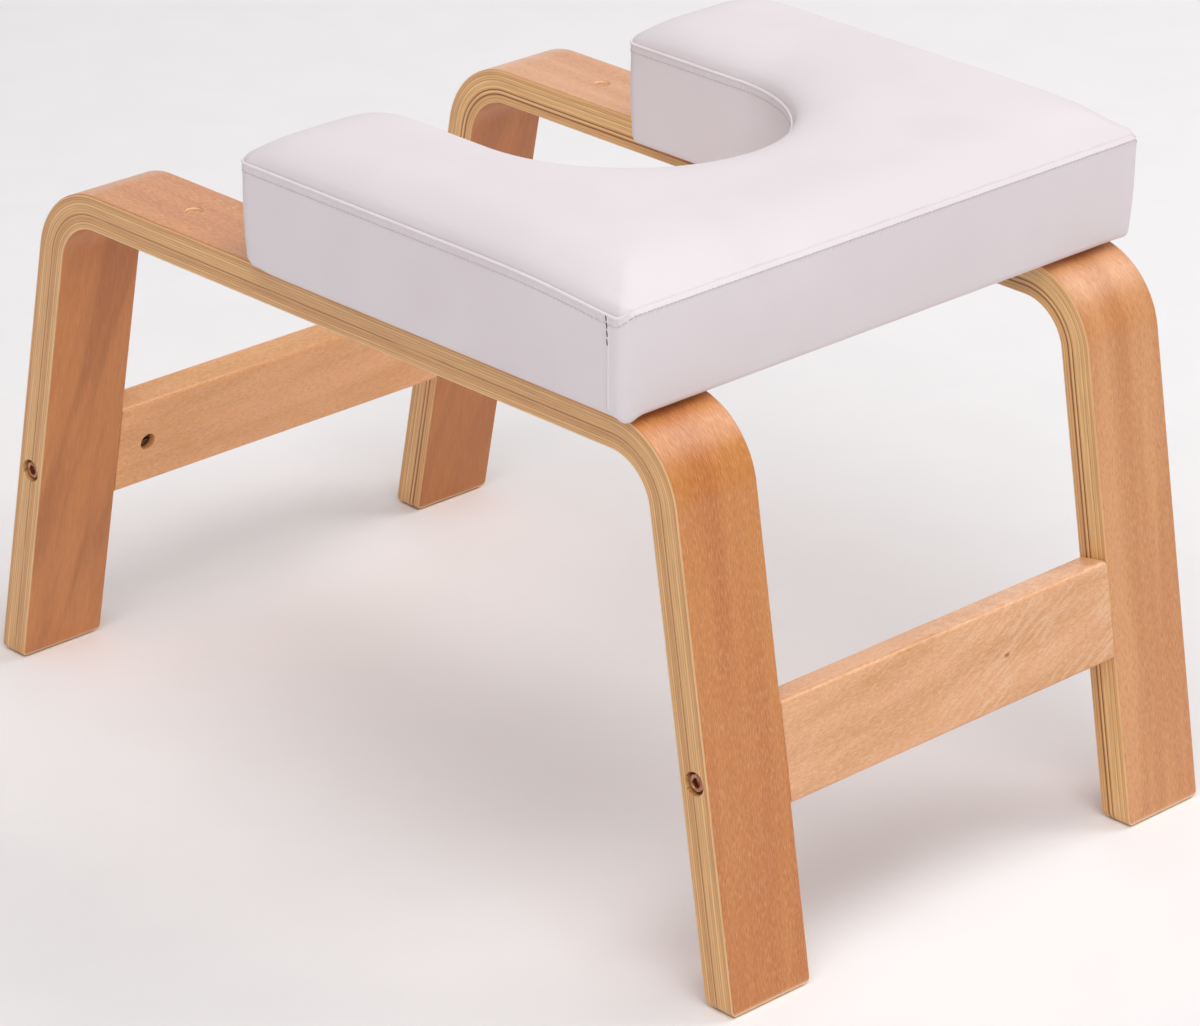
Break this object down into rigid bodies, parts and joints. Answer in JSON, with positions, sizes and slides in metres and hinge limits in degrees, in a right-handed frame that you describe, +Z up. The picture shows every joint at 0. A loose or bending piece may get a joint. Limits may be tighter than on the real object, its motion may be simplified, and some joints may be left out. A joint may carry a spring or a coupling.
{
  "type": "headstand stool",
  "caption": "Low padded headstand stool: bentwood leg frames joined by crossbars carry a horseshoe cushion with a neck opening, and the rails reach forward as handles.",
  "frame": {"origin": "on the floor, under the middle of the stool's bounding box", "axes": "+Z up, +Y along the stool's length towards the closed rear of the cushion, -Y towards the handles and the open end of the neck opening, +X to the right leg frame"},
  "size_m": [0.39, 0.5984, 0.3839],
  "materials": {
    "veneer": "moulded beech plywood, satin lacquer",
    "beech": "solid beech, satin lacquer",
    "dowel_wood": "turned beech, unfinished",
    "bronze": "steel, bronze coloured plating",
    "zinc": "steel, zinc plated",
    "cover": "white synthetic leather, soft satin",
    "foam": "polyurethane foam",
    "board": "plywood, sanded",
    "dust_cloth": "black non-woven cloth"
  },
  "bodies": {
    "root": {"right_leg_frame": "veneer", "left_leg_frame": "veneer", "front_crossbar": "beech", "rear_crossbar": "beech", "right_handle_plug": "dowel_wood", "left_handle_plug": "dowel_wood", "cushion_cover": "cover", "cushion_foam": "foam", "cushion_board": "board", "dust_cloth": "dust_cloth", "front_right_bar_bolt": "bronze", "front_right_bar_washer": "bronze", "front_right_barrel_nut": "zinc", "front_right_upper_dowel": "dowel_wood", "front_right_lower_dowel": "dowel_wood", "front_right_cushion_bolt": "bronze", "front_right_cushion_washer": "bronze", "front_right_tee_nut": "zinc", "front_left_bar_bolt": "bronze", "front_left_bar_washer": "bronze", "front_left_barrel_nut": "zinc", "front_left_upper_dowel": "dowel_wood", "front_left_lower_dowel": "dowel_wood", "front_left_cushion_bolt": "bronze", "front_left_cushion_washer": "bronze", "front_left_tee_nut": "zinc", "rear_right_bar_bolt": "bronze", "rear_right_bar_washer": "bronze", "rear_right_barrel_nut": "zinc", "rear_right_upper_dowel": "dowel_wood", "rear_right_lower_dowel": "dowel_wood", "rear_right_cushion_bolt": "bronze", "rear_right_cushion_washer": "bronze", "rear_right_tee_nut": "zinc", "rear_left_bar_bolt": "bronze", "rear_left_bar_washer": "bronze", "rear_left_barrel_nut": "zinc", "rear_left_upper_dowel": "dowel_wood", "rear_left_lower_dowel": "dowel_wood", "rear_left_cushion_bolt": "bronze", "rear_left_cushion_washer": "bronze", "rear_left_tee_nut": "zinc"}
  },
  "joints": []
}
